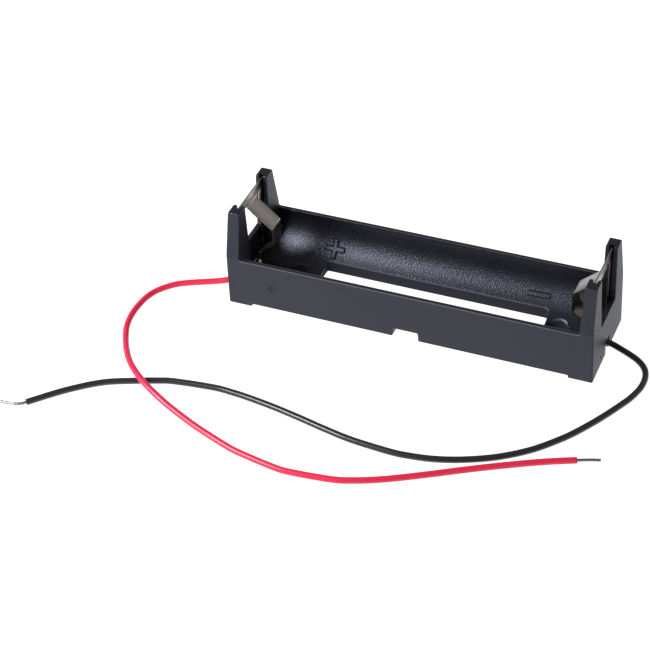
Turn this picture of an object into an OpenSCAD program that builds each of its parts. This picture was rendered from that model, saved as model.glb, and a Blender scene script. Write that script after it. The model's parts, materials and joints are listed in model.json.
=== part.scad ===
// Holder for one 18 mm x 65 mm cylindrical cell: a moulded trough with two
// folded spring contacts and two soldered wire leads.
// Frame: X along the cell (+X is the negative end), Y across it, Z up.
// The origin is the middle of the underside of the feet.

/* [Moulded holder] */
// Length over the feet of the two end walls
holder_l = 78.4; // [74:0.1:90]
// Width over the two side walls
holder_w = 20.9; // [20:0.1:26]
// Height of the side walls
wall_h = 11.4; // [9:0.1:14]
// Thickness of a side wall at its top
side_wall_t = 1.0; // [0.8:0.05:1.6]
// Height of the lowest line of the trough
floor_top = 2.0; // [1.6:0.1:3]
// Height of the feet under the floor
foot_h = 0.7; // [0.3:0.05:1]
// Length of the foot under each end
foot_l = 5.1; // [3:0.1:6]
// Radius of the four upright corners
corner_r = 0.4; // [0.2:0.1:1.5]
// Radius of the small moulded edges
edge_r = 0.4; // [0.1:0.05:0.6]

/* [End walls and posts] */
// Height of the four corner posts
post_h = 21.8; // [19:0.1:26]
// Thickness of a post along the holder, at its foot
post_t = 3.1; // [2.8:0.05:3.8]
// Draft of the end face, from its foot to the top of the posts
post_end_draft = 0.5; // [0:0.05:0.6]
// Draft of a post on its inner face
post_inner_draft = 0.1; // [0:0.05:0.3]
// Width of a post at its top
post_top_w = 3.05; // [2.6:0.05:3.6]
// Height at which the outer faces of the posts start to lean in
lean_h = 12.3; // [11:0.1:15]
// Opening between a pair of posts, at the top
window_top_w = 10.85; // [10:0.05:11.5]
// Opening between a pair of posts, at the sill
window_foot_w = 9.9; // [9:0.05:10.5]
// Height of the sill between a pair of posts
sill_h = 9.75; // [8:0.05:11]
// Thickness of the end wall at its foot
end_wall_t = 1.3; // [1:0.05:1.6]

/* [Floor] */
// Width of the long slot through the floor
floor_slot_w = 10.3; // [6:0.1:11]
// Reach of the floor slot towards the positive end
floor_slot_left = 23.3; // [15:0.1:24]
// Reach of the floor slot towards the negative end
floor_slot_right = 25.5; // [15:0.1:26]
// Distance between the two fixing screws
screw_spacing = 56.6; // [55:0.1:60]
// Diameter of the screw holes
screw_hole_d = 3.2; // [2.6:0.1:3.6]
// Diameter of the pads under the screw holes, level with the feet
screw_pad_d = 5.4; // [4.6:0.1:6]
// Diameter of the countersinks at the bottom of the trough
sink_d = 6.0; // [5:0.1:6.2]
// Width of the notch under the middle of each side wall
side_notch_w = 5.6; // [4:0.1:8]
// Height of the roof of that notch
side_notch_h = 2.7; // [1.5:0.1:3]
// Depth of that notch
side_notch_depth = 4.1; // [2:0.1:4.4]

/* [Spring contacts] */
// Thickness of the contact sheet
contact_t = 0.3; // [0.25:0.05:0.5]
// Width of a contact over its two ears
contact_w = 12.8; // [12:0.1:14]
// Opening between the two legs of a contact
leg_gap = 7.4; // [6.5:0.1:8]
// Height of the crossbar between the ears
crossbar_h = 1.9; // [1.5:0.1:3]
// Distance from the top of the posts down to the crossbar
crossbar_drop = 0.5; // [0.2:0.1:1]
// Height at which the legs stand on the floor of their slots
contact_seat_h = 5.0; // [4.5:0.1:6]
// Width of the spring tongue
tongue_w = 4.4; // [3.6:0.1:4.8]
// Reach of the tongue's nose from the plane of the contact
nose_reach = 5.2; // [4:0.05:5.5]
// Drop from the tongue's first fold to the nose
nose_drop = 4.6; // [4:0.1:5.5]
// Height of the upright face of the nose
nose_h = 4.3; // [3:0.1:5]
// Width of the solder tail at the end of the tongue
tail_w = 1.4; // [1:0.1:1.8]
// Drop from the crossbar to the tongue's first fold
root_drop = 0.5; // [0.2:0.1:1]
// Clearance round a contact at the foot of its slot
contact_fit = 0.03; // [0.02:0.01:0.1]
// Extra room on each face of a contact at the top of its slot
slot_lead_in = 0.3; // [0.15:0.05:0.35]

/* [Wire leads] */
// Diameter over the insulation
lead_d = 1.3; // [1.1:0.05:1.6]
// Diameter of the tinned strands
strand_d = 0.6; // [0.4:0.05:0.8]
// Diameter of a solder joint
solder_d = 1.6; // [1.4:0.1:2]
// Room on each side of a lead in its notch
lead_side_room = 0.7; // [0.3:0.1:1]
// Room over a lead in its notch
lead_top_room = 0.1; // [0.05:0.05:0.4]

/* [Hidden] */

plastic_colour = "#1d1f24";
nickel_colour = "#b3ada0";
solder_colour = "#c9c8c2";
red_colour = "#d6284a";
black_colour = "#16161a";

$fn = 64;
// Radius of the edges round the tops of the posts
top_edge_r = 0.25;
// Overrun of a cut past the face it opens
cut = 1;
// Steps in a small moulded radius
edge_steps = 3;
// Steps in a fold of the contact sheet
fold_steps = 5;

half_l = holder_l / 2;
half_w = holder_w / 2;
trough_r = half_w - side_wall_t;
trough_z = floor_top + trough_r;
post_inner_x = half_l - post_t;
wall_inner_x = half_l - end_wall_t;
post_outer_y = window_top_w / 2 + post_top_w;
lean_r = 4;
slot_corner_left = 0.4;
slot_corner_right = 1.0;
side_notch_draft = 0.14;
sink_rise = side_wall_t + 0.5;

// Ejector mark on the front wall: its place, diameter and depth
mark_x = -29.0;
mark_z = 5.85;
mark_d = 1.5;
mark_depth = 0.12;

// Small slit in the outside of the negative end wall
end_slit_y = -4.9;
end_slit_w = 0.4;
end_slit_z = 1.9;
end_slit_h = 0.8;

slot_foot_w = contact_t + 2 * contact_fit;
slot_top_w = contact_t + 2 * slot_lead_in;
slot_half_y = contact_w / 2 + contact_fit;
contact_x = wall_inner_x - slot_top_w / 2;
crossbar_top = post_h - crossbar_drop;
crossbar_z = crossbar_top - crossbar_h;
ear_corner = 0.6;
leg_corner = 0.8;
fold_r = 0.7;

notch_w = lead_d + 2 * lead_side_room;
notch_top = floor_top + lead_d + lead_top_room;
lead_z = floor_top + lead_d / 2;
// The insulation ends just inside the end wall
lead_start_x = wall_inner_x - 0.3;
strand_reach = 1.3;
tail_gap = 0.15;
tail_x = contact_x - 0.65;
tail_end_z = lead_z + strand_d / 2 + tail_gap;
solder_z = tail_end_z + 0.4;

// Folds of the tongue: distance in from the contact's plane, height, fold radius
root_z = crossbar_z - root_drop;
nose_z = root_z - nose_drop;
tail_top_z = floor_top + 4.5;
tongue_path = [
    [0, crossbar_top, 0],
    [0, root_z, fold_r],
    [nose_reach, nose_z, fold_r],
    [nose_reach, nose_z - nose_h, 1],
    [contact_x - tail_x + 0.35, tail_top_z, fold_r],
    [contact_x - tail_x, tail_end_z, 0]
];
tongue_taper_top = nose_z - nose_h - 0.6;
tongue_taper_foot = tail_top_z + 0.2;

// Routes of the leads, from the holder to the end of the insulation
red_route = [
    [-lead_start_x, 0, lead_z],
    [-lead_start_x - 0.5, 0, lead_z],
    [-39.25, -0.33, 2.45],
    [-40.25, -1.33, 2.2],
    [-40.6, -2.65, 1.85],
    [-40.95, -4.0, 1.45],
    [-41.95, -4.95, 1.05],
    [-43.8, -5.75, 0.82],
    [-46.4, -6.8, 0.7],
    [-49.4, -8.1, 0.65],
    [-52.1, -9.7, 0.65],
    [-54.4, -12.2, 0.65],
    [-55.6, -14.5, 0.65],
    [-56.2, -17.3, 0.65],
    [-56.3, -21.3, 0.65],
    [-55.6, -25.2, 0.65],
    [-54.0, -29.0, 0.75],
    [-51.7, -33.0, 1.2],
    [-48.9, -36.8, 1.8],
    [-45.8, -39.8, 2.1],
    [-42.7, -42.1, 2.0],
    [-39.6, -43.8, 1.6],
    [-36.4, -45.3, 1.1],
    [-33.1, -46.7, 0.75],
    [-29.5, -48.3, 0.65],
    [-25.8, -49.8, 0.65],
    [-22.1, -51.2, 0.65],
    [-18.3, -52.4, 0.65],
    [-10.4, -53.9, 0.65],
    [-6.4, -54.1, 0.65],
    [1.5, -53.3, 0.65],
    [5.4, -52.2, 0.65],
    [9.1, -50.7, 0.65],
    [12.7, -48.9, 0.65],
    [17.9, -46.0, 0.65],
    [25.7, -41.5, 0.65],
    [33.5, -37.3, 0.65],
    [38.2, -35.0, 0.65],
    [42.8, -33.0, 0.65]
];
red_bare_route = [
    [42.8, -33.0, 0.65],
    [44.2, -32.4, 0.62],
    [45.6, -31.8, 0.55],
    [46.9, -31.3, 0.45]
];
black_route = [
    [lead_start_x, 0, lead_z],
    [lead_start_x + 0.5, 0, lead_z],
    [40.1, -0.15, 2.3],
    [42.4, -0.9, 2.0],
    [44.3, -1.55, 1.7],
    [45.85, -2.2, 1.4],
    [47.05, -3.0, 1.1],
    [47.9, -4.0, 0.85],
    [48.4, -5.3, 0.7],
    [48.6, -6.9, 0.65],
    [48.55, -8.6, 0.65],
    [48.2, -10.4, 0.65],
    [47.3, -13.1, 0.65],
    [45.6, -16.6, 0.65],
    [43.8, -20.0, 0.65],
    [41.9, -23.2, 0.65],
    [39.6, -26.7, 0.65],
    [37.1, -29.8, 0.65],
    [34.4, -32.7, 0.65],
    [31.4, -35.2, 0.65],
    [28.1, -37.4, 0.65],
    [24.6, -39.2, 0.65],
    [20.9, -40.7, 0.65],
    [17.0, -41.8, 0.65],
    [13.1, -42.4, 0.65],
    [9.1, -42.6, 0.65],
    [1.1, -42.0, 0.65],
    [-4.9, -40.9, 0.65],
    [-10.7, -39.6, 0.65],
    [-16.6, -38.4, 0.65],
    [-22.5, -37.5, 0.65],
    [-26.5, -37.1, 0.65],
    [-30.5, -37.0, 0.65],
    [-38.4, -37.9, 0.65],
    [-42.3, -39.0, 0.65],
    [-49.8, -41.9, 0.65],
    [-53.2, -43.8, 0.65],
    [-56.3, -46.2, 0.65],
    [-59.3, -48.9, 0.65],
    [-63.6, -53.4, 0.65]
];
black_bare_route = [
    [-63.6, -53.4, 0.65],
    [-64.2, -54.0, 0.65],
    [-65.4, -54.5, 0.6],
    [-67.0, -54.6, 0.5],
    [-68.8, -54.7, 0.4]
];

// ---- Outlines ----

function unit(v) = v / norm(v);

function turned(v, angle) = [
    v.x * cos(angle) - v.y * sin(angle),
    v.x * sin(angle) + v.y * cos(angle)
];

// Corner b of the line a, b, c, replaced by an arc of radius r
function arc_corner(a, b, c, r, steps) =
    let (
        u = unit(a - b),
        v = unit(c - b),
        half = acos(u * v) / 2,
        centre = b + unit(u + v) * r / sin(half),
        start = b + u * r / tan(half) - centre,
        way = sign(u.y * v.x - u.x * v.y)
    )
    r == 0 ? [b] : [
        for (k = [0:steps])
            centre + turned(start, way * (180 - 2 * half) * k / steps)
    ];

function place(p) = [p[0], p[1]];

// Closed outline through [x, y, radius] points
function rounded_outline(p, steps = edge_steps) = [
    for (i = [0:len(p) - 1])
        each arc_corner(
            place(p[(i + len(p) - 1) % len(p)]),
            place(p[i]),
            place(p[(i + 1) % len(p)]),
            p[i][2],
            steps
        )
];

// Open line through [x, y, radius] points
function rounded_line(p, steps = fold_steps) = [
    place(p[0]),
    for (i = [1:len(p) - 2])
        each arc_corner(place(p[i - 1]), place(p[i]), place(p[i + 1]), p[i][2], steps),
    place(p[len(p) - 1])
];

// Offset of point i of a line, on its left for a positive distance
function beside(p, i, distance) =
    let (
        before = unit(p[max(i, 1)] - p[max(i, 1) - 1]),
        after = unit(p[min(i, len(p) - 2) + 1] - p[min(i, len(p) - 2)]),
        middle = unit(before + after)
    )
    p[i] + turned(middle, 90) * distance / (middle * before);

// Outline of a folded sheet of thickness t whose middle follows a line
function folded_sheet(p, t) = concat(
    [for (i = [0:len(p) - 1]) beside(p, i, t / 2)],
    [for (i = [len(p) - 1:-1:0]) beside(p, i, -t / 2)]
);

// Half of an outline, completed by its mirror image
function mirrored(half) = concat(
    half,
    [for (i = [len(half) - 1:-1:0]) [-half[i][0], half[i][1], half[i][2]]]
);

// A Y-Z outline carried along X
module along_x(from_x, to_x) {
    translate([from_x, 0, 0])
        rotate([90, 0, 90])
            linear_extrude(to_x - from_x)
                children();
}

// An X-Z outline carried along Y
module along_y(from_y, to_y) {
    translate([0, to_y, 0])
        rotate([90, 0, 0])
            linear_extrude(to_y - from_y)
                children();
}

module at_both_ends() {
    children();
    mirror([1, 0, 0])
        children();
}

// ---- Moulded holder ----

// Outline seen from above
module holder_plan() {
    polygon(rounded_outline([
        [half_l, -half_w, corner_r],
        [half_l, half_w, corner_r],
        [-half_l, half_w, corner_r],
        [-half_l, -half_w, corner_r]
    ]));
}

// Outline seen from an end: the leaning posts and the sill between them
module end_outline() {
    polygon(rounded_outline(mirrored([
        [half_w, 0, top_edge_r],
        [half_w, lean_h, lean_r],
        [post_outer_y, post_h, top_edge_r],
        [window_top_w / 2, post_h, top_edge_r],
        [window_foot_w / 2, sill_h, edge_r]
    ])));
}

// Outline seen from a side: the feet, the low walls and the posts
module side_outline() {
    polygon(rounded_outline(mirrored([
        [half_l - foot_l, foot_h, 0],
        [half_l - foot_l, 0, 0],
        [half_l, 0, edge_r],
        [half_l - post_end_draft, post_h, top_edge_r],
        [post_inner_x + post_inner_draft, post_h, top_edge_r],
        [post_inner_x, wall_h, edge_r]
    ])));
}

module trough_section() {
    translate([0, trough_z])
        circle(r = trough_r, $fn = 128);
    translate([-trough_r, trough_z])
        square([2 * trough_r, post_h]);
}

// Space behind an end wall, between the posts
module pocket_section() {
    intersection() {
        trough_section();
        translate([-window_foot_w / 2, 0])
            square([window_foot_w, post_h + cut]);
    }
}

// Slot that takes both ears of a contact, narrowing towards its floor
module contact_slot() {
    along_y(-slot_half_y, slot_half_y)
        polygon([
            [contact_x - slot_foot_w / 2, contact_seat_h],
            [contact_x + slot_foot_w / 2, contact_seat_h],
            [contact_x + slot_top_w / 2, post_h],
            [contact_x + slot_top_w / 2, post_h + cut],
            [contact_x - slot_top_w / 2, post_h + cut],
            [contact_x - slot_top_w / 2, post_h]
        ]);
}

// Notch in the end wall through which a lead comes out
module lead_notch() {
    along_x(wall_inner_x, half_l + cut)
        polygon(rounded_outline(mirrored([
            [notch_w / 2, -cut, 0],
            [notch_w / 2, notch_top, edge_r]
        ])));
}

module floor_slot() {
    translate([0, 0, -cut])
        linear_extrude(trough_z + cut)
            polygon(rounded_outline([
                [-floor_slot_left, -floor_slot_w / 2, slot_corner_left],
                [floor_slot_right, -floor_slot_w / 2, slot_corner_right],
                [floor_slot_right, floor_slot_w / 2, slot_corner_right],
                [-floor_slot_left, floor_slot_w / 2, slot_corner_left]
            ]));
}

// Screw hole with a 90 degree countersink that opens into the trough
module screw_hole() {
    translate([screw_spacing / 2, 0, 0]) {
        translate([0, 0, -cut])
            cylinder(d = screw_hole_d, h = floor_top + 2 * cut);
        translate([0, 0, floor_top - (sink_d - screw_hole_d) / 2])
            cylinder(
                d1 = screw_hole_d,
                d2 = sink_d + 2 * sink_rise,
                h = (sink_d - screw_hole_d) / 2 + sink_rise
            );
    }
}

// Pad that carries the floor where a screw draws it down
module screw_pad() {
    translate([screw_spacing / 2, 0, 0])
        cylinder(d = screw_pad_d, h = (floor_top + foot_h) / 2);
}

// Notch into the foot of a side wall
module side_notch() {
    along_y(half_w - side_notch_depth, half_w + cut)
        polygon([
            [-side_notch_w / 2, -cut],
            [side_notch_w / 2, -cut],
            [side_notch_w / 2, foot_h],
            [side_notch_w / 2 - side_notch_draft, side_notch_h],
            [-side_notch_w / 2 + side_notch_draft, side_notch_h],
            [-side_notch_w / 2, foot_h]
        ]);
}

module ejector_mark() {
    translate([mark_x, -half_w + mark_depth, mark_z])
        rotate([90, 0, 0])
            cylinder(d = mark_d, h = cut);
}

module end_slit() {
    translate([half_l - end_wall_t / 2, end_slit_y - end_slit_w / 2, end_slit_z])
        cube([cut, end_slit_w, end_slit_h]);
}

module holder_body() {
    color(plastic_colour)
        difference() {
            union() {
                intersection() {
                    linear_extrude(post_h)
                        holder_plan();
                    along_x(-half_l, half_l)
                        end_outline();
                    along_y(-half_w, half_w)
                        side_outline();
                }
                at_both_ends()
                    screw_pad();
            }
            along_x(-post_inner_x, post_inner_x)
                trough_section();
            along_x(-wall_inner_x, wall_inner_x)
                pocket_section();
            at_both_ends() {
                contact_slot();
                lead_notch();
                screw_hole();
            }
            floor_slot();
            side_notch();
            mirror([0, 1, 0])
                side_notch();
            ejector_mark();
            end_slit();
        }
}

// ---- Spring contacts ----

// The inverted U that sits in the post slots, seen from the end
module contact_frame_outline() {
    difference() {
        polygon(rounded_outline(mirrored([
            [leg_gap / 2, contact_seat_h, 0],
            [contact_w / 2 - leg_corner, contact_seat_h, 0],
            [contact_w / 2, contact_seat_h + leg_corner, 0],
            [contact_w / 2, crossbar_top, ear_corner],
        ])));
        translate([-leg_gap / 2, contact_seat_h - cut])
            square([leg_gap, crossbar_z - contact_seat_h + cut]);
    }
}

// Width of the tongue at each height, seen from the end
module tongue_outline() {
    polygon(rounded_outline(mirrored([
        [tail_w / 2, tail_end_z, 0],
        [tail_w / 2, tongue_taper_foot, 0],
        [tongue_w / 2, tongue_taper_top, 0],
        [tongue_w / 2, crossbar_top, 0]
    ])));
}

// The contact of the negative end, cut and folded from one sheet
module contact() {
    line = rounded_line(tongue_path);
    color(nickel_colour) {
        along_x(contact_x - contact_t / 2, contact_x + contact_t / 2)
            contact_frame_outline();
        intersection() {
            along_y(-tongue_w / 2, tongue_w / 2)
                polygon(folded_sheet([for (p = line) [contact_x - p.x, p.y]], contact_t));
            along_x(0, contact_x + contact_t)
                tongue_outline();
        }
    }
}

module positive_contact() {
    mirror([1, 0, 0])
        contact();
}

module negative_contact() {
    contact();
}

// ---- Wire leads ----

// Direction of a route at point i
function heading(p, i) = unit(p[min(i + 1, len(p) - 1)] - p[max(i - 1, 0)]);

// Ring of points round point i of a route, in the plane across it
function ring(p, i, d, sides) =
    let (
        forward = heading(p, i),
        across = unit(cross([0, 0, 1], forward)),
        above = cross(forward, across)
    )
    [
        for (k = [0:sides - 1])
            let (a = 360 * (k + 0.5) / sides)
            p[i] + d / 2 * (cos(a) * across + sin(a) * above)
    ];

// Round tube swept along a route
module tube(p, d, sides = 8) {
    last = len(p) - 1;
    points = [for (i = [0:last]) each ring(p, i, d, sides)];
    faces = [
        for (i = [0:last - 1], k = [0:sides - 1])
            let (
                a = i * sides + k,
                b = i * sides + (k + 1) % sides
            )
            each [[a, a + sides, b + sides], [a, b + sides, b]]
    ];
    caps = [
        [for (k = [0:sides - 1]) k],
        [for (k = [sides - 1:-1:0]) last * sides + k]
    ];
    polyhedron(points, concat(faces, caps), convexity = 10);
}

// Tinned strands from the cut insulation to the solder, at the negative end
module soldered_strands() {
    translate([lead_start_x - strand_reach, 0, lead_z])
        rotate([0, 90, 0])
            cylinder(d = strand_d, h = strand_reach);
}

// Solder that joins the strands to the contact's tail, at the negative end
module solder_joint() {
    color(solder_colour)
        difference() {
            translate([tail_x, 0, solder_z])
                sphere(d = solder_d);
            contact();
            soldered_strands();
        }
}

module negative_solder_joint() {
    solder_joint();
}

module positive_solder_joint() {
    mirror([1, 0, 0])
        solder_joint();
}

module black_lead_soldered_end() {
    color(solder_colour)
        soldered_strands();
}

module red_lead_soldered_end() {
    color(solder_colour)
        mirror([1, 0, 0])
            soldered_strands();
}

module red_lead() {
    color(red_colour)
        tube(red_route, lead_d);
}

module black_lead() {
    color(black_colour)
        tube(black_route, lead_d);
}

module red_lead_bare_end() {
    color(solder_colour)
        tube(red_bare_route, strand_d);
}

module black_lead_bare_end() {
    color(solder_colour)
        tube(black_bare_route, strand_d);
}

holder_body();
positive_contact();
negative_contact();
positive_solder_joint();
negative_solder_joint();
red_lead();
black_lead();
red_lead_soldered_end();
black_lead_soldered_end();
red_lead_bare_end();
black_lead_bare_end();
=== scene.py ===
"""Looks of a holder for one cylindrical cell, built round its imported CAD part.

A black moulded trough with open posts, two folded nickel-plated contacts, and a
red and a black wire lead with stripped ends, on a plain pale floor.
Lengths are in metres, in the frame of the part: X along the cell, Z up.
The materials measure in millimetres, as Finish.place gives them.
"""

import json
import math

import bpy
from bpy.props import FloatProperty, FloatVectorProperty, IntProperty, PointerProperty
from bpy.types import Operator, Panel, PropertyGroup
from mathutils import Matrix, Vector

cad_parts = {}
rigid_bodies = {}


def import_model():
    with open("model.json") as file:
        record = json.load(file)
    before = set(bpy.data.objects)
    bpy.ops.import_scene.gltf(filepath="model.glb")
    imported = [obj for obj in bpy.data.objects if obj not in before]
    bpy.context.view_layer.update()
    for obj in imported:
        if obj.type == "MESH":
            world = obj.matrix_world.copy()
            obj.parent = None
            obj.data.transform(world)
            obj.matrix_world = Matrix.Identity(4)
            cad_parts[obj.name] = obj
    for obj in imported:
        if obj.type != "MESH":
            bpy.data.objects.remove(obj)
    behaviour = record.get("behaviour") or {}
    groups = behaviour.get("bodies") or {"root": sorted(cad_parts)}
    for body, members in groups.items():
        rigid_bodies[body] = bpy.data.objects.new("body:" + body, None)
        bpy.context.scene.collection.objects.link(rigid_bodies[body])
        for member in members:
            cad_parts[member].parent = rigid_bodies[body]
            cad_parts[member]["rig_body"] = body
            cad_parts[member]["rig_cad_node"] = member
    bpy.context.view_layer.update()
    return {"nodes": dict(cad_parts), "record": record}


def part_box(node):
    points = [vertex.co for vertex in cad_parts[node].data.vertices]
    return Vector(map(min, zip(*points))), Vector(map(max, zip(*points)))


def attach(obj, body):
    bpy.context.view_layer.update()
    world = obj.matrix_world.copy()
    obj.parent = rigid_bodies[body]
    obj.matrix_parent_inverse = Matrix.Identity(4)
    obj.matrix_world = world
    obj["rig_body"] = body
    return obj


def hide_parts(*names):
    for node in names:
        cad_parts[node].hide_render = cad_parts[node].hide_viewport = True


bl_info = {
    "name": "Cell Holder",
    "version": (1, 0, 0),
    "blender": (4, 5, 0),
    "location": "View3D > Sidebar > Cell Holder",
    "description": "Builds the looks of a cylindrical cell holder with wire leads",
    "category": "Object",
}

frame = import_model()

MM = 0.001

# ---- Sizes of the part ----

HOLDER_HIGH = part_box("holder_body")[1]
CONTACT_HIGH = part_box("negative_contact")[1]
FIXING_HOLES = next(m for m in frame["record"]["mounts"] if m["name"] == "fixing_holes")
# Distance of each screw hole from the middle
HOLE_X = FIXING_HOLES["dims"]["spacing_x_mm"] * MM / 2
# The trough: its wall's thickness, its lowest line, its radius and its middle line
SIDE_WALL = 1.0 * MM
FLOOR_TOP = 2.0 * MM
TROUGH_RADIUS = HOLDER_HIGH.y - SIDE_WALL
TROUGH_Z = FLOOR_TOP + TROUGH_RADIUS
# Thickness of a post along the holder
POST_DEPTH = 3.1 * MM
# Height of the side walls
WALL_TOP = 11.4 * MM
# Height at which the outer faces of the posts have taken their full lean
POST_LEAN = 13.2 * MM
# Width of the long slot through the floor
SLOT_WIDTH = 10.3 * MM

# ---- Polarity marks ----

# Reach of their arms, and half the width of an arm
PLUS_ARM = 2.1 * MM
MINUS_ARM = 2.3 * MM
MARK_HALF = 0.5 * MM
# Place of each mark: along the trough, and its turn up the rear wall
PLUS_PLACE = (-22.2 * MM, math.radians(49.6))
MINUS_PLACE = (22.8 * MM, math.radians(46.9))
# How deep a mark is rooted in the wall, and the rounding of its edges
MARK_ROOT = 0.1 * MM
MARK_EDGE = 0.1 * MM
# Cuts along a mark, on each side of its middle, that let it follow the wall
MARK_CUTS = 6
MARK_CUT_STEP = 0.35 * MM

# ---- Leads and solder ----

# Steps between two points of a route, and along the strands inside the holder
STEPS_A_STRETCH = 6
INNER_STEPS = 8
# Reach of the strands from the insulation to the solder
STRAND_REACH = 1.3 * MM
# Length in which a strand winds round once
STRAND_LAY = 4.5 * MM
# Rounding of the rim of the cut insulation
CUT_RIM = 0.06 * MM
# Roundness of a rod, as the bevel resolution of its curve
LEAD_ROUNDNESS = 4
STRAND_ROUNDNESS = 1
# A solder joint's drop and neck, as shares of the joint's radius
DROP_RADIUS = 0.92
NECK_FOOT = 0.62
NECK_TOP = 0.42
NECK_HEIGHT = 1.1
NECK_RISE = 0.25
# Grain of the mesh that melts drop and neck into one
SOLDER_VOXEL = 0.06 * MM

# ---- Bands of the moulded finish, in millimetres ----

# Past the trough's wall: where its texture starts to fade and has faded, where the
# polished rim ends, and where the slot's matt walls begin, with some slack across them
TEXTURE_START = 0.02
TEXTURE_END = 0.12
RIM_END = 0.35
SLOT_START = 0.2
SLOT_SLACK = 0.1
# Bands along the tops of walls and posts, and along the outer edges that carry a painted
# highlight
TOP_BAND = 0.3
OUTER_BAND = 0.17
# Paler colour painted on the rims beside the trough and on the outer top edges, as a painted
# highlight
PAINTED_HIGHLIGHT_COLOUR = (0.09, 0.09, 0.105)
# Round a screw hole: nothing nearer than this gets the painted highlight, and the countersink's
# relief
HOLE_CLEAR = 3.1
SINK_REACH = 3.4
SINK_RISE = 2.3
# The groove round a polarity mark
GROOVE_HALF = 0.15
GROOVE_DEPTH = 0.08
# The lean of the trough's wall: where it grows at each end, the negative end's share of
# it, the turn up the wall at which it changes sign, and its slope
PLUS_BAY = (-24.0, -30.0)
MINUS_BAY = (24.5, 30.0)
MINUS_SHARE = 0.4
LEAN_TURN = 0.87
LEAN_SLOPE = 0.2

# ---- Meshes ----

# Vertices nearer than this are one vertex, on a CAD mesh and on a rod
MERGE_CAD = 0.001 * MM
MERGE_ROD = 0.0005 * MM
# Faces that turn by less than this, in degrees, are one flat face
FLAT_TURN = 0.6
BEVEL_STEPS = 2

# ---- Stage ----

# Aim point of the camera, beside and over the origin in the camera's own plane
AIM_RIGHT = -0.020204
AIM_UP = -0.002945
SENSOR_WIDTH = 36.0
NEAREST = 0.01
FARTHEST = 10.0
FLOOR_Z = -0.01 * MM
FLOOR_SIZE = 1.6
BACKDROP_RADIUS = 3.0
WORLD_COLOUR = (0.97, 0.98, 1.0, 1.0)
WORLD_LIGHT = 0.32
# Name, place, size, power and colour of each soft light, which faces the origin
LIGHTS = (
    ("key_light", (-0.224, -0.1876, 0.199), (0.13, 0.11), 1.7, (0.94, 0.97, 1.0)),
    ("back_light", (0.43, 0.58, 0.35), (0.4, 0.3), 0.12, (1.0, 0.98, 0.95)),
)

# Routes of the leads, from the holder to the end of the insulation
RED_ROUTE = (
    (-0.0376, 0, 0.00265),
    (-0.0381, 0, 0.00265),
    (-0.03925, -0.00033, 0.00245),
    (-0.04025, -0.00133, 0.0022),
    (-0.0406, -0.00265, 0.00185),
    (-0.04095, -0.004, 0.00145),
    (-0.04195, -0.00495, 0.00105),
    (-0.0438, -0.00575, 0.00082),
    (-0.0464, -0.0068, 0.0007),
    (-0.0494, -0.0081, 0.00065),
    (-0.0521, -0.0097, 0.00065),
    (-0.0544, -0.0122, 0.00065),
    (-0.0556, -0.0145, 0.00065),
    (-0.0562, -0.0173, 0.00065),
    (-0.0563, -0.0213, 0.00065),
    (-0.0556, -0.0252, 0.00065),
    (-0.054, -0.029, 0.00075),
    (-0.0517, -0.033, 0.0012),
    (-0.0489, -0.0368, 0.0018),
    (-0.0458, -0.0398, 0.0021),
    (-0.0427, -0.0421, 0.002),
    (-0.0396, -0.0438, 0.0016),
    (-0.0364, -0.0453, 0.0011),
    (-0.0331, -0.0467, 0.00075),
    (-0.0295, -0.0483, 0.00065),
    (-0.0258, -0.0498, 0.00065),
    (-0.0221, -0.0512, 0.00065),
    (-0.0183, -0.0524, 0.00065),
    (-0.0104, -0.0539, 0.00065),
    (-0.0064, -0.0541, 0.00065),
    (0.0015, -0.0533, 0.00065),
    (0.0054, -0.0522, 0.00065),
    (0.0091, -0.0507, 0.00065),
    (0.0127, -0.0489, 0.00065),
    (0.0179, -0.046, 0.00065),
    (0.0257, -0.0415, 0.00065),
    (0.0335, -0.0373, 0.00065),
    (0.0382, -0.035, 0.00065),
    (0.0428, -0.033, 0.00065),
)
RED_BARE_ROUTE = (
    (0.0428, -0.033, 0.00065),
    (0.0442, -0.0324, 0.00062),
    (0.0456, -0.0318, 0.00055),
    (0.0469, -0.0313, 0.00045),
)
BLACK_ROUTE = (
    (0.0376, 0, 0.00265),
    (0.0381, 0, 0.00265),
    (0.0401, -0.00015, 0.0023),
    (0.0424, -0.0009, 0.002),
    (0.0443, -0.00155, 0.0017),
    (0.04585, -0.0022, 0.0014),
    (0.04705, -0.003, 0.0011),
    (0.0479, -0.004, 0.00085),
    (0.0484, -0.0053, 0.0007),
    (0.0486, -0.0069, 0.00065),
    (0.04855, -0.0086, 0.00065),
    (0.0482, -0.0104, 0.00065),
    (0.0473, -0.0131, 0.00065),
    (0.0456, -0.0166, 0.00065),
    (0.0438, -0.02, 0.00065),
    (0.0419, -0.0232, 0.00065),
    (0.0396, -0.0267, 0.00065),
    (0.0371, -0.0298, 0.00065),
    (0.0344, -0.0327, 0.00065),
    (0.0314, -0.0352, 0.00065),
    (0.0281, -0.0374, 0.00065),
    (0.0246, -0.0392, 0.00065),
    (0.0209, -0.0407, 0.00065),
    (0.017, -0.0418, 0.00065),
    (0.0131, -0.0424, 0.00065),
    (0.0091, -0.0426, 0.00065),
    (0.0011, -0.042, 0.00065),
    (-0.0049, -0.0409, 0.00065),
    (-0.0107, -0.0396, 0.00065),
    (-0.0166, -0.0384, 0.00065),
    (-0.0225, -0.0375, 0.00065),
    (-0.0265, -0.0371, 0.00065),
    (-0.0305, -0.037, 0.00065),
    (-0.0384, -0.0379, 0.00065),
    (-0.0423, -0.039, 0.00065),
    (-0.0498, -0.0419, 0.00065),
    (-0.0532, -0.0438, 0.00065),
    (-0.0563, -0.0462, 0.00065),
    (-0.0593, -0.0489, 0.00065),
    (-0.0636, -0.0534, 0.00065),
)
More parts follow.
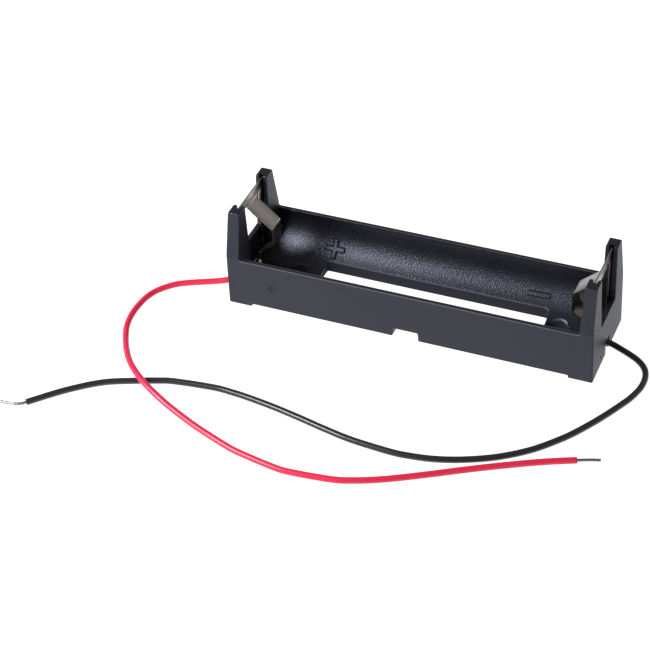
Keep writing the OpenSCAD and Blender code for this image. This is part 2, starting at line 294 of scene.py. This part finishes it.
BLACK_BARE_ROUTE = (
    (-0.0636, -0.0534, 0.00065),
    (-0.0642, -0.054, 0.00065),
    (-0.0654, -0.0545, 0.0006),
    (-0.067, -0.0546, 0.0005),
    (-0.0688, -0.0547, 0.0004),
)

# ---- Settings ----


def length_setting(name, description, default):
    """A length in metres that a user may change."""
    return FloatProperty(
        name=name,
        description=description,
        default=default,
        min=0.0,
        precision=5,
        subtype="DISTANCE",
        unit="LENGTH",
    )


def colour_setting(name, description, default):
    """A colour that a user may change."""
    return FloatVectorProperty(
        name=name,
        description=description,
        default=default,
        min=0.0,
        max=1.0,
        size=3,
        subtype="COLOR",
    )


class HolderSettings(PropertyGroup):
    """Sizes and colour of the moulded holder."""

    colour: colour_setting(
        "Plastic", "Colour of the moulded plastic", (0.0058, 0.0057, 0.0076)
    )
    edge: length_setting("Edge", "Rounding of the moulded edges", 0.2 * MM)
    mark_height: length_setting(
        "Mark height", "How far the polarity marks stand out", 0.15 * MM
    )


class ContactSettings(PropertyGroup):
    """Sizes and colour of the spring contacts."""

    colour: colour_setting("Nickel", "Colour of the plating", (0.34, 0.31, 0.295))
    edge: length_setting("Edge", "Rounding of the sheared edges", 0.05 * MM)


class LeadSettings(PropertyGroup):
    """Sizes and colours of the wire leads."""

    red: colour_setting("Red", "Colour of the positive lead", (0.78, 0.013, 0.062))
    black: colour_setting("Black", "Colour of the negative lead", (0.014, 0.0125, 0.0155))
    tin: colour_setting("Tin", "Colour of the tinned strands", (0.34, 0.32, 0.29))
    solder: colour_setting("Solder", "Colour of the solder", (0.86, 0.83, 0.77))
    diameter: length_setting("Insulation", "Diameter over the insulation", 1.3 * MM)
    strand: length_setting("Strand", "Diameter of one tinned strand", 0.2 * MM)
    strands: IntProperty(
        name="Strands", description="Strands round the middle one", default=6, min=3
    )


class StageSettings(PropertyGroup):
    """Floor, light and camera."""

    floor: colour_setting("Floor", "Colour of the floor", (0.22, 0.22, 0.23))
    light: colour_setting("Floor light", "Colour of the floor's own light", (0.97, 0.98, 1.0))
    glow: FloatProperty(
        name="Glow", description="Light that the floor gives off", default=1.09, min=0.0
    )
    azimuth: FloatProperty(
        name="Azimuth",
        description="Turn of the camera round the holder",
        default=math.radians(24.513),
        subtype="ANGLE",
    )
    elevation: FloatProperty(
        name="Elevation",
        description="Height of the camera over the horizon",
        default=math.radians(39.266),
        subtype="ANGLE",
    )
    roll: FloatProperty(
        name="Roll",
        description="Turn of the camera about its own line of sight",
        default=math.radians(-3.308),
        subtype="ANGLE",
    )
    distance: length_setting("Distance", "From the aim point to the camera", 0.401035)
    lens: FloatProperty(
        name="Lens", description="Focal length in millimetres", default=107.70, min=1.0
    )


# ---- Shader maths ----


class Value:
    """An output socket, on which Python's operators add Math nodes."""

    def __init__(self, finish, socket):
        self.finish = finish
        self.socket = socket

    def math(self, operation, *inputs):
        """A Math node fed with one or two values."""
        return self.finish.node(
            "ShaderNodeMath", {"operation": operation}, dict(enumerate(inputs))
        )

    def __add__(self, other):
        return self.math("ADD", self, other)

    def __radd__(self, other):
        return self.math("ADD", other, self)

    def __sub__(self, other):
        return self.math("SUBTRACT", self, other)

    def __rsub__(self, other):
        return self.math("SUBTRACT", other, self)

    def __mul__(self, other):
        return self.math("MULTIPLY", self, other)

    def __pow__(self, other):
        return self.math("POWER", self, other)

    def __lt__(self, other):
        return self.math("LESS_THAN", self, other)

    def __gt__(self, other):
        return self.math("GREATER_THAN", self, other)

    def size(self):
        return self.math("ABSOLUTE", self)

    def root(self):
        return self.math("SQRT", self)

    def higher(self, other):
        return self.math("MAXIMUM", self, other)

    def lower(self, other):
        return self.math("MINIMUM", self, other)

    def angle_over(self, other):
        """The angle whose tangent is this value over another."""
        return self.math("ARCTAN2", self, other)


class Finish:
    """One procedural material: a Principled shader and the nodes that feed it."""

    def __init__(self, name, **fixed):
        self.material = bpy.data.materials.new(name)
        self.material.use_nodes = True
        self.nodes = self.material.node_tree.nodes
        self.links = self.material.node_tree.links
        self.shader = self.nodes["Principled BSDF"]
        for socket, value in fixed.items():
            self.set(socket.replace("_", " "), value)

    def node(self, kind, settings=None, inputs=None, output=0):
        """Adds a node: its settings first, then the values or links of its sockets."""
        made = self.nodes.new(kind)
        for name, value in (settings or {}).items():
            setattr(made, name, value)
        for name, value in (inputs or {}).items():
            self.feed(made.inputs[name], value)
        return Value(self, made.outputs[output])

    def feed(self, socket, value):
        """Links a value to a socket, or sets the socket to a constant."""
        if isinstance(value, Value):
            self.links.new(value.socket, socket)
        elif socket.type == "RGBA":
            socket.default_value = (*value, 1.0)
        else:
            socket.default_value = value

    def set(self, socket, value):
        """Feeds a socket of the shader."""
        self.feed(self.shader.inputs[socket], value)

    def place(self, scale=(1.0, 1.0, 1.0)):
        """The point on the piece, in millimetres, stretched by scale."""
        here = self.node("ShaderNodeTexCoord", output="Object")
        factor = tuple(s / MM for s in scale)
        return self.node(
            "ShaderNodeVectorMath", {"operation": "MULTIPLY"}, {0: here, 1: factor}
        )

    def axes(self, place):
        """The three coordinates of a point, as values."""
        split = self.node("ShaderNodeSeparateXYZ", inputs={0: place}).socket.node
        return [Value(self, socket) for socket in split.outputs]

    def noise(self, place, scale, detail=2.0, roughness=0.5):
        return self.node(
            "ShaderNodeTexNoise",
            {"noise_dimensions": "3D"},
            {"Vector": place, "Scale": scale, "Detail": detail, "Roughness": roughness},
        )

    def cells(self, place, scale):
        """Distance to the nearest of scattered points."""
        return self.node(
            "ShaderNodeTexVoronoi", {"feature": "F1"}, {"Vector": place, "Scale": scale}
        )

    def ramp(self, value, low, high, to_low=0.0, to_high=1.0, course="LINEAR"):
        """The value carried from one range to another, and held at its ends."""
        return self.node(
            "ShaderNodeMapRange",
            {"clamp": True, "interpolation_type": course},
            {0: value, 1: low, 2: high, 3: to_low, 4: to_high},
        )

    def ease(self, value, low, high):
        """From 0 at low to 1 at high, with soft ends."""
        return self.ramp(value, low, high, course="SMOOTHSTEP")

    def fade(self, value, low, high):
        """From 1 at low to 0 at high."""
        return self.ramp(value, low, high, 1.0, 0.0)

    def blend(self, factor, first, second):
        """A colour between two colours."""
        return self.node(
            "ShaderNodeMix", {"data_type": "RGBA"}, {0: factor, 6: first, 7: second}, output=2
        )

    def bump(self, height, distance, under=None):
        """Raises the surface by a height, over the relief of an earlier bump."""
        inputs = {"Strength": 1.0, "Distance": distance, "Height": height}
        if under:
            inputs["Normal"] = under
        normal = self.node("ShaderNodeBump", inputs=inputs)
        self.set("Normal", normal)
        return normal


def darker(colour, factor):
    return tuple(c * factor for c in colour)


def outside_bar(u, v, reach, half):
    """How far a point lies outside a bar along u: its reach and half its width."""
    return (u.size() - reach / MM).higher(v.size() - half / MM)


def outside_marks(x, turn):
    """How far a point of the trough's wall lies outside the nearer polarity mark."""
    radius = TROUGH_RADIUS / MM
    u, v = x - PLUS_PLACE[0] / MM, (turn - PLUS_PLACE[1]) * radius
    plus = outside_bar(u, v, PLUS_ARM, MARK_HALF).lower(outside_bar(v, u, PLUS_ARM, MARK_HALF))
    u, v = x - MINUS_PLACE[0] / MM, (turn - MINUS_PLACE[1]) * radius
    return plus.lower(outside_bar(u, v, MINUS_ARM, MARK_HALF))


class HolderPlaces:
    """Where a point of the moulded holder lies: values in millimetres, and masks."""

    def __init__(self, finish):
        self.here = finish.place()
        self.x, y, z = finish.axes(self.here)
        across = y.size()
        high = HOLDER_HIGH / MM
        radius, middle_z, wall_top = TROUGH_RADIUS / MM, TROUGH_Z / MM, WALL_TOP / MM
        # Distance from the trough's middle line, and turn about it from straight down
        reach = (y * y + (z - middle_z) ** 2.0).root()
        self.turn = across.angle_over(middle_z - z)
        self.from_hole = ((self.x.size() - HOLE_X / MM) ** 2.0 + y * y).root()

        between_posts = self.x.size() < high.x - POST_DEPTH / MM - TEXTURE_START
        self.in_trough = between_posts * finish.fade(
            reach, radius + TEXTURE_START, radius + TEXTURE_END
        )
        self.groove = (
            finish.fade(outside_marks(self.x, self.turn).size(), 0.0, GROOVE_HALF)
            * self.in_trough
            * (y > 0.0)
        )
        self.rim = between_posts * finish.fade(reach, radius + TEXTURE_END, radius + RIM_END)
        on_wall_top = between_posts * ((z - wall_top).size() < TOP_BAND)
        self.polished = self.rim.higher(on_wall_top).higher(z > high.z - TOP_BAND)
        outer_edge = between_posts * (z > wall_top - OUTER_BAND) * (across > high.y - OUTER_BAND)
        # Painted highlight: the rims past the trough's wall and the walls' outer top edges are
        # painted paler
        self.painted_highlight = (self.rim * (1.0 - self.in_trough)).higher(outer_edge)
        self.painted_highlight = self.painted_highlight * (self.from_hole > HOLE_CLEAR)
        in_slot_width = across < SLOT_WIDTH / MM / 2 + SLOT_SLACK
        self.in_slot = between_posts * in_slot_width * (reach > radius + SLOT_START)

    def broad_relief(self, finish):
        """The trough's lean near its ends, the steep countersinks, the marks' grooves."""
        bays = finish.ease(self.x, *PLUS_BAY) + finish.ease(self.x, *MINUS_BAY) * MINUS_SHARE
        lean = (LEAN_TURN - self.turn) * bays * self.in_trough * LEAN_SLOPE
        sink = finish.ramp(self.from_hole, 0.0, SINK_REACH, 0.0, SINK_RISE)
        sink = sink * (1.0 - self.in_trough) * (self.from_hole < SINK_REACH)
        return lean + sink - self.groove * GROOVE_DEPTH


def moulded_plastic(settings):
    """Black plastic: fine spark-eroded walls, and a coarser, glossier trough.

    The tool polished the slot's rim and the tops of the walls and posts, and the walls of
    the floor slot stayed matt. The rims beside the trough and the outermost edges are painted
    paler, a painted highlight.
    """
    finish = Finish(
        "moulded_plastic",
        IOR=1.5,
        Specular_IOR_Level=0.55,
        Specular_Tint=(0.78, 0.80, 1.0),
    )
    at = HolderPlaces(finish)
    fine = finish.noise(at.here, scale=7.0, detail=3.0, roughness=0.6)
    grain = finish.noise(at.here, scale=3.4, detail=2.0, roughness=0.6)
    pits = finish.cells(at.here, scale=3.8)
    flow = finish.noise(at.here, scale=0.12, detail=3.0, roughness=0.6)

    wall_height = fine * 0.6
    trough_height = grain * 0.8 + pits * 0.6 + fine * 0.4
    height = wall_height * (1.0 - at.in_trough) + trough_height * at.in_trough
    finish.bump(height, 0.05 * MM, finish.bump(at.broad_relief(finish), MM))

    flowed = finish.ramp(flow, 0.35, 0.65)
    colour = finish.blend(flowed, darker(settings.colour, 0.85), settings.colour)
    # Painted highlight on the rims and outer edges, over the plastic's own blotchy tone
    finish.set("Base Color", finish.blend(at.painted_highlight * 0.8, colour, PAINTED_HIGHLIGHT_COLOUR))

    satin = 0.5 + (flow - 0.5) * 0.12 + (fine - 0.5) * 0.1
    roughness = satin - at.polished * 0.18 + at.in_slot * 0.4 + at.groove * 0.15
    finish.set("Roughness", roughness)
    return finish.material


def nickel_plate(settings):
    """Nickel-plated spring steel, satin, with faint rolling lines and spots."""
    finish = Finish("nickel_plate", Metallic=1.0)
    here = finish.place()
    rolled = finish.place((9.0, 0.5, 9.0))
    lines = finish.noise(rolled, scale=1.2)
    spots = finish.noise(here, scale=1.6, detail=3.0, roughness=0.6)
    grain = finish.noise(here, scale=9.0)
    warm = tuple(c * f for c, f in zip(settings.colour, (1.0, 0.93, 0.85)))
    plating = finish.blend(finish.ramp(spots, 0.4, 0.7), settings.colour, warm)
    # Painted shade: the tongue of the negative contact is painted darker, and its outer sheet is
    # not
    x, _, _ = finish.axes(here)
    outside = CONTACT_HIGH.x / MM
    painted_shade = (x > 0.0) * finish.ramp(x, outside - 1.2, outside - 0.6, 0.45, 0.0)
    finish.set("Base Color", finish.blend(painted_shade, plating, darker(settings.colour, 0.3)))
    finish.set("Roughness", 0.28 + (spots - 0.5) * 0.18 + (lines - 0.5) * 0.08)
    finish.bump(lines * 0.5 + grain * 0.6, 0.009 * MM)
    return finish.material


def lead_insulation(name, colour, gloss):
    """Soft wire insulation, smooth from the die, with faint ripples and scuffs."""
    finish = Finish(name, IOR=1.52)
    here = finish.place()
    ripple = finish.noise(here, scale=0.55)
    scuff = finish.noise(here, scale=2.6, detail=3.0, roughness=0.65)
    worn = finish.blend(finish.ramp(scuff, 0.3, 0.75), colour, darker(colour, 0.8))
    # Painted shade: the end inside the holder's end pocket is painted nearly black
    x, y, _ = finish.axes(here)
    pocket_shade = (x.size() < HOLDER_HIGH.x / MM - 0.5) * (y.size() < 1.0)
    finish.set("Base Color", finish.blend(pocket_shade, worn, darker(colour, 0.08)))
    finish.set("Roughness", gloss + (scuff - 0.5) * 0.2)
    finish.bump(ripple * 0.7 + scuff * 0.3, 0.03 * MM)
    return finish.material


def tinned_metal(name, colour, roughness):
    """Tin and solder: bright, slightly uneven metal."""
    finish = Finish(name, Metallic=1.0)
    uneven = finish.noise(finish.place(), scale=3.0, detail=3.0, roughness=0.6)
    dull = finish.ramp(uneven, 0.35, 0.7)
    finish.set("Base Color", finish.blend(dull, colour, darker(colour, 0.72)))
    finish.set("Roughness", roughness + (uneven - 0.5) * 0.2)
    finish.bump(uneven, 0.02 * MM)
    return finish.material


def pale_floor(settings):
    """A plain pale floor with an even, matt surface."""
    finish = Finish(
        "pale_floor", Roughness=0.9, Specular_IOR_Level=0.1, Emission_Strength=settings.glow
    )
    finish.set("Base Color", settings.floor)
    finish.set("Emission Color", settings.light)
    return finish.material


# ---- Modelling ----


def make_active(piece):
    """Selects one piece alone, outside edit mode."""
    if bpy.context.object and bpy.context.object.mode != "OBJECT":
        bpy.ops.object.mode_set(mode="OBJECT")
    bpy.ops.object.select_all(action="DESELECT")
    piece.select_set(True)
    bpy.context.view_layer.objects.active = piece


def edit_whole(piece):
    """Opens a piece for editing, with all of it selected."""
    make_active(piece)
    bpy.ops.object.mode_set(mode="EDIT")
    bpy.ops.mesh.select_all(action="SELECT")


def leave_edit():
    bpy.ops.object.mode_set(mode="OBJECT")


def finish_piece(piece, name, material):
    """Names a piece, gives it its one material, and lets it ride on the part."""
    make_active(piece)
    bpy.ops.object.transform_apply(location=True, rotation=True, scale=True)
    piece.name = name
    piece.data.name = name
    piece.data.materials.clear()
    piece.data.materials.append(material)
    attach(piece, "root")


def apply_modifier(piece, kind, **settings):
    """Adds a modifier to a piece and applies it."""
    make_active(piece)
    modifier = piece.modifiers.new(kind.title(), kind)
    for name, value in settings.items():
        setattr(modifier, name, value)
    bpy.ops.object.modifier_apply(modifier=modifier.name)


def copy_of_node(node):
    """A merged copy of a CAD node, whose flat faces are whole."""
    make_active(frame["nodes"][node])
    bpy.ops.object.duplicate()
    piece = bpy.context.object
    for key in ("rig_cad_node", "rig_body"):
        if key in piece:
            del piece[key]
    piece.parent = None
    edit_whole(piece)
    bpy.ops.mesh.remove_doubles(threshold=MERGE_CAD)
    bpy.ops.mesh.dissolve_limited(angle_limit=math.radians(FLAT_TURN))
    leave_edit()
    return piece


def round_edges(piece, width, sharper_than, clamp=True):
    """Rounds the edges of a piece that turn by more than an angle in degrees."""
    apply_modifier(
        piece,
        "BEVEL",
        width=width,
        segments=BEVEL_STEPS,
        limit_method="ANGLE",
        angle_limit=math.radians(sharper_than),
        use_clamp_overlap=clamp,
        offset_type="WIDTH",
        miter_outer="MITER_ARC",
    )


def smooth(piece, up_to):
    """Shades a piece smooth across edges that turn by up to an angle in degrees."""
    make_active(piece)
    bpy.ops.object.shade_smooth_by_angle(angle=math.radians(up_to))


def weight_normals(piece):
    """Lets the large faces set the shading next to their rounded edges."""
    apply_modifier(piece, "WEIGHTED_NORMAL", weight=100, keep_sharp=True)


def smooth_line(points):
    """Points of a smooth line through a route's points."""
    line = []
    last = len(points) - 1
    for i in range(last):
        before = Vector(points[max(i - 1, 0)])
        start = Vector(points[i])
        end = Vector(points[i + 1])
        after = Vector(points[min(i + 2, last)])
        for k in range(STEPS_A_STRETCH):
            t = k / STEPS_A_STRETCH
            line.append(
                0.5
                * (
                    2.0 * start
                    + (end - before) * t
                    + (2.0 * before - 5.0 * start + 4.0 * end - after) * t**2
                    + (3.0 * start - before - 3.0 * end + after) * t**3
                )
            )
    line.append(Vector(points[last]))
    return line


def line_length(line):
    return sum((b - a).length for a, b in zip(line, line[1:]))


def rod_along(line, diameter, roundness):
    """A round rod along a line, as a mesh with closed ends."""
    curve = bpy.data.curves.new("rod", "CURVE")
    curve.dimensions = "3D"
    curve.bevel_depth = diameter / 2
    curve.bevel_resolution = roundness
    curve.use_fill_caps = True
    spline = curve.splines.new("POLY")
    spline.points.add(len(line) - 1)
    for point, place in zip(spline.points, line):
        point.co = (*place, 1.0)
    piece = bpy.data.objects.new("rod", curve)
    bpy.context.scene.collection.objects.link(piece)
    make_active(piece)
    bpy.ops.object.convert(target="MESH")
    piece = bpy.context.object
    edit_whole(piece)
    bpy.ops.mesh.remove_doubles(threshold=MERGE_ROD)
    bpy.ops.mesh.normals_make_consistent(inside=False)
    leave_edit()
    return piece


def join_pieces(pieces):
    """One mesh from several."""
    make_active(pieces[0])
    for piece in pieces:
        piece.select_set(True)
    bpy.ops.object.join()
    return bpy.context.object


def plus_outline():
    """Corners of the plus sign."""
    arm, half = PLUS_ARM, MARK_HALF
    corners = [(half, half), (half, arm), (-half, arm), (-half, half)]
    corners += [(-arm, half), (-arm, -half), (-half, -half), (-half, -arm)]
    return corners + [(half, -arm), (half, -half), (arm, -half), (arm, half)]


def minus_outline():
    """Corners of the minus sign."""
    arm, half = MINUS_ARM, MARK_HALF
    return [(arm, -half), (arm, half), (-arm, half), (-arm, -half)]


# ---- Operators ----


class CELLHOLDER_OT_stage(Operator):
    """Set the camera, the floor and the soft light"""

    bl_idname = "cell_holder.stage"
    bl_label = "Stage"

    def execute(self, context):
        settings = context.scene.cell_holder_stage
        self.add_camera(context, settings)
        self.add_floor(context, settings)
        self.add_light(context)
        return {"FINISHED"}

    def add_camera(self, context, settings):
        azimuth, elevation = settings.azimuth, settings.elevation
        back = Vector(
            (
                math.sin(azimuth) * math.cos(elevation),
                -math.cos(azimuth) * math.cos(elevation),
                math.sin(elevation),
            )
        )
        right = (-back).cross(Vector((0.0, 0.0, 1.0))).normalized()
        up = right.cross(-back)
        cosine, sine = math.cos(settings.roll), math.sin(settings.roll)
        right, up = right * cosine + up * sine, up * cosine - right * sine
        aim = AIM_RIGHT * right + AIM_UP * up
        bpy.ops.object.camera_add()
        camera = context.object
        camera.name = "camera"
        place = Matrix((right, up, back)).transposed().to_4x4()
        place.translation = aim + back * settings.distance
        camera.matrix_world = place
        camera.data.lens = settings.lens
        camera.data.sensor_width = SENSOR_WIDTH
        camera.data.clip_start = NEAREST
        camera.data.clip_end = FARTHEST
        context.scene.camera = camera

    def add_floor(self, context, settings):
        """A floor, and a shell of the same colour round it that casts no light."""
        bpy.ops.mesh.primitive_plane_add(size=FLOOR_SIZE, location=(0.0, 0.0, FLOOR_Z))
        floor = context.object
        floor.name = "floor"
        floor.data.materials.append(pale_floor(settings))
        bpy.ops.mesh.primitive_uv_sphere_add(radius=BACKDROP_RADIUS)
        backdrop = context.object
        backdrop.name = "backdrop"
        backdrop.data.materials.append(pale_floor(settings))
        backdrop.visible_diffuse = False
        backdrop.visible_glossy = False
        backdrop.visible_transmission = False
        backdrop.visible_shadow = False

    def add_light(self, context):
        world = bpy.data.worlds.new("soft_light")
        world.use_nodes = True
        sky = world.node_tree.nodes["Background"]
        sky.inputs["Color"].default_value = WORLD_COLOUR
        sky.inputs["Strength"].default_value = WORLD_LIGHT
        context.scene.world = world
        context.scene.view_settings.view_transform = "Standard"
        for name, place, size, power, colour in LIGHTS:
            bpy.ops.object.light_add(type="AREA", location=place)
            light = context.object
            light.name = name
            light.data.shape = "RECTANGLE"
            light.data.size, light.data.size_y = size
            light.data.energy = power
            light.data.color = colour
            light.visible_camera = False
            light.rotation_euler = (-Vector(place)).to_track_quat("-Z", "Y").to_euler()


class CELLHOLDER_OT_leads(Operator):
    """Lay the red and the black lead along their routes"""

    bl_idname = "cell_holder.leads"
    bl_label = "Wire leads"

    def execute(self, context):
        settings = context.scene.cell_holder_leads
        tin = tinned_metal("tinned_strands", settings.tin, 0.32)
        for colour, route, bare_route, gloss in (
            ("red", RED_ROUTE, RED_BARE_ROUTE, 0.36),
            ("black", BLACK_ROUTE, BLACK_BARE_ROUTE, 0.3),
        ):
            material = lead_insulation(colour + "_insulation", getattr(settings, colour), gloss)
            line = smooth_line(route)
            lead = rod_along(line, settings.diameter, LEAD_ROUNDNESS)
            round_edges(lead, CUT_RIM, sharper_than=50.0)
            smooth(lead, up_to=40.0)
            finish_piece(lead, colour + "_lead_insulation", material)
            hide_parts(colour + "_lead")
            bare = self.strands(settings, smooth_line(bare_route))
            finish_piece(bare, colour + "_lead_strands", tin)
            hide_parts(colour + "_lead_bare_end")
            line_length(line)
            inside = self.strands(settings, self.inner_line(route))
            finish_piece(inside, colour + "_lead_inner_strands", tin)
            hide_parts(colour + "_lead_soldered_end")
        return {"FINISHED"}

    def inner_line(self, route):
        """The line of the strands from the insulation to the solder."""
        start = Vector(route[0])
        inward = Vector((-math.copysign(STRAND_REACH, start.x), 0.0, 0.0))
        return [start + inward * (k / INNER_STEPS) for k in range(INNER_STEPS + 1)]

    def strands(self, settings, line):
        """Tinned strands, one along a line and the others laid round it."""
        lines = [line] + [self.helix(line, n, settings) for n in range(settings.strands)]
        bundle = join_pieces([rod_along(own, settings.strand, STRAND_ROUNDNESS) for own in lines])
        smooth(bundle, up_to=60.0)
        return bundle

    def helix(self, line, n, settings):
        """The line of one outer strand, which winds round the middle one."""
        turned = []
        gone = 0.0
        for i, place in enumerate(line):
            if i:
                gone += (place - line[i - 1]).length
            forward = (line[min(i + 1, len(line) - 1)] - line[max(i - 1, 0)]).normalized()
            across = forward.cross(Vector((0.0, 0.0, 1.0))).normalized()
            above = across.cross(forward)
            angle = math.tau * (n / settings.strands + gone / STRAND_LAY)
            aside = across * math.cos(angle) + above * math.sin(angle)
            turned.append(place + settings.strand * aside)
        return turned


class CELLHOLDER_OT_holder(Operator):
    """Give the moulded holder its rounded edges and its plastic"""

    bl_idname = "cell_holder.holder"
    bl_label = "Moulded holder"

    def execute(self, context):
        settings = context.scene.cell_holder_body
        plastic = moulded_plastic(settings)
        body = copy_of_node("holder_body")
        round_edges(body, settings.edge, sharper_than=36.0, clamp=False)
        self.cut_across(body, POST_LEAN)
        smooth(body, up_to=32.0)
        weight_normals(body)
        finish_piece(body, "moulded_holder", plastic)
        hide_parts("holder_body")
        for name, outline, middle in (
            ("positive_mark", plus_outline(), PLUS_PLACE),
            ("negative_mark", minus_outline(), MINUS_PLACE),
        ):
            mark = self.raised_mark(name, outline, settings.mark_height)
            self.lay_on_wall(mark, middle)
            smooth(mark, up_to=35.0)
            weight_normals(mark)
            finish_piece(mark, name, plastic)
        return {"FINISHED"}

    def cut_across(self, piece, height):
        """A level cut that ends the soft turn from a wall to its leaning posts."""
        edit_whole(piece)
        bpy.ops.mesh.bisect(plane_co=(0.0, 0.0, height), plane_no=(0.0, 0.0, 1.0))
        leave_edit()

    def raised_mark(self, name, outline, height):
        """A polarity mark on a level plane, with cuts along which it can bend."""
        mesh = bpy.data.meshes.new(name)
        mesh.from_pydata([(u, v, 0.0) for u, v in outline], [], [range(len(outline))])
        piece = bpy.data.objects.new(name, mesh)
        bpy.context.scene.collection.objects.link(piece)
        edit_whole(piece)
        rise = height + MARK_ROOT
        bpy.ops.mesh.extrude_region_move(TRANSFORM_OT_translate={"value": (0, 0, rise)})
        bpy.ops.mesh.select_all(action="SELECT")
        bpy.ops.mesh.normals_make_consistent(inside=False)
        leave_edit()
        round_edges(piece, MARK_EDGE, sharper_than=40.0)
        edit_whole(piece)
        for step in range(-MARK_CUTS, MARK_CUTS + 1):
            bpy.ops.mesh.select_all(action="SELECT")
            bpy.ops.mesh.bisect(
                plane_co=(0.0, step * MARK_CUT_STEP, 0.0), plane_no=(0.0, 1.0, 0.0)
            )
        leave_edit()
        return piece

    def lay_on_wall(self, piece, middle):
        """Bends a level mark round the trough, and roots it in the wall."""
        along, angle = middle
        for vertex in piece.data.vertices:
            u, v, w = vertex.co
            reach = TROUGH_RADIUS + MARK_ROOT - w
            turn = angle + v / TROUGH_RADIUS
            vertex.co = (
                along + u,
                reach * math.sin(turn),
                TROUGH_Z - reach * math.cos(turn),
            )
        edit_whole(piece)
        bpy.ops.mesh.normals_make_consistent(inside=False)
        leave_edit()


class CELLHOLDER_OT_contacts(Operator):
    """Give both spring contacts their rounded edges and their plating"""

    bl_idname = "cell_holder.contacts"
    bl_label = "Spring contacts"

    def execute(self, context):
        settings = context.scene.cell_holder_contacts
        nickel = nickel_plate(settings)
        for sign in ("positive", "negative"):
            contact = copy_of_node(sign + "_contact")
            round_edges(contact, settings.edge, sharper_than=50.0)
            smooth(contact, up_to=30.0)
            finish_piece(contact, sign + "_spring_contact", nickel)
            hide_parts(sign + "_contact")
        return {"FINISHED"}


class CELLHOLDER_OT_solder(Operator):
    """Make the solder joints that hold the strands to the contacts' tails"""

    bl_idname = "cell_holder.solder"
    bl_label = "Solder joints"

    def execute(self, context):
        settings = context.scene.cell_holder_leads
        solder = tinned_metal("solder", settings.solder, 0.22)
        for sign in ("positive", "negative"):
            low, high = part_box(sign + "_solder_joint")
            middle = (low + high) / 2
            radius = (high.x - low.x) / 2
            bpy.ops.mesh.primitive_ico_sphere_add(
                subdivisions=4, radius=radius * DROP_RADIUS, location=middle
            )
            drop = context.object
            bpy.ops.mesh.primitive_cone_add(
                vertices=24,
                radius1=radius * NECK_FOOT,
                radius2=radius * NECK_TOP,
                depth=radius * NECK_HEIGHT,
                location=(middle.x, middle.y, middle.z + radius * NECK_RISE),
            )
            neck = context.object
            joint = join_pieces([drop, neck])
            apply_modifier(joint, "REMESH", mode="VOXEL", voxel_size=SOLDER_VOXEL)
            apply_modifier(joint, "SMOOTH", factor=0.5, iterations=12)
            smooth(joint, up_to=60.0)
            finish_piece(joint, sign + "_solder", solder)
            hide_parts(sign + "_solder_joint")
        return {"FINISHED"}


class CELLHOLDER_PT_panel(Panel):
    """Lists the pieces and their settings"""

    bl_idname = "CELLHOLDER_PT_panel"
    bl_label = "Cell Holder"
    bl_space_type = "VIEW_3D"
    bl_region_type = "UI"
    bl_category = "Cell Holder"

    def draw(self, context):
        for operator, settings, names in PANEL_ROWS:
            box = self.layout.box()
            box.operator(operator.bl_idname)
            group = getattr(context.scene, settings)
            for name in names:
                box.prop(group, name)


PANEL_ROWS = (
    (
        CELLHOLDER_OT_stage,
        "cell_holder_stage",
        ("azimuth", "elevation", "roll", "distance", "lens", "floor", "light", "glow"),
    ),
    (
        CELLHOLDER_OT_leads,
        "cell_holder_leads",
        ("red", "black", "tin", "diameter", "strand", "strands"),
    ),
    (CELLHOLDER_OT_holder, "cell_holder_body", ("colour", "edge", "mark_height")),
    (CELLHOLDER_OT_contacts, "cell_holder_contacts", ("colour", "edge")),
    (CELLHOLDER_OT_solder, "cell_holder_leads", ("solder",)),
)
SETTINGS = {
    "cell_holder_stage": StageSettings,
    "cell_holder_leads": LeadSettings,
    "cell_holder_body": HolderSettings,
    "cell_holder_contacts": ContactSettings,
}
CLASSES = (
    *SETTINGS.values(),
    CELLHOLDER_OT_stage,
    CELLHOLDER_OT_leads,
    CELLHOLDER_OT_holder,
    CELLHOLDER_OT_contacts,
    CELLHOLDER_OT_solder,
    CELLHOLDER_PT_panel,
)


def register():
    for made in CLASSES:
        bpy.utils.register_class(made)
    for name, group in SETTINGS.items():
        setattr(bpy.types.Scene, name, PointerProperty(type=group))


def unregister():
    for name in SETTINGS:
        delattr(bpy.types.Scene, name)
    for made in reversed(CLASSES):
        bpy.utils.unregister_class(made)


def main():
    register()
    bpy.ops.cell_holder.stage()
    bpy.ops.cell_holder.leads()
    bpy.ops.cell_holder.holder()
    bpy.ops.cell_holder.contacts()
    bpy.ops.cell_holder.solder()


if __name__ == "__main__":
    main()
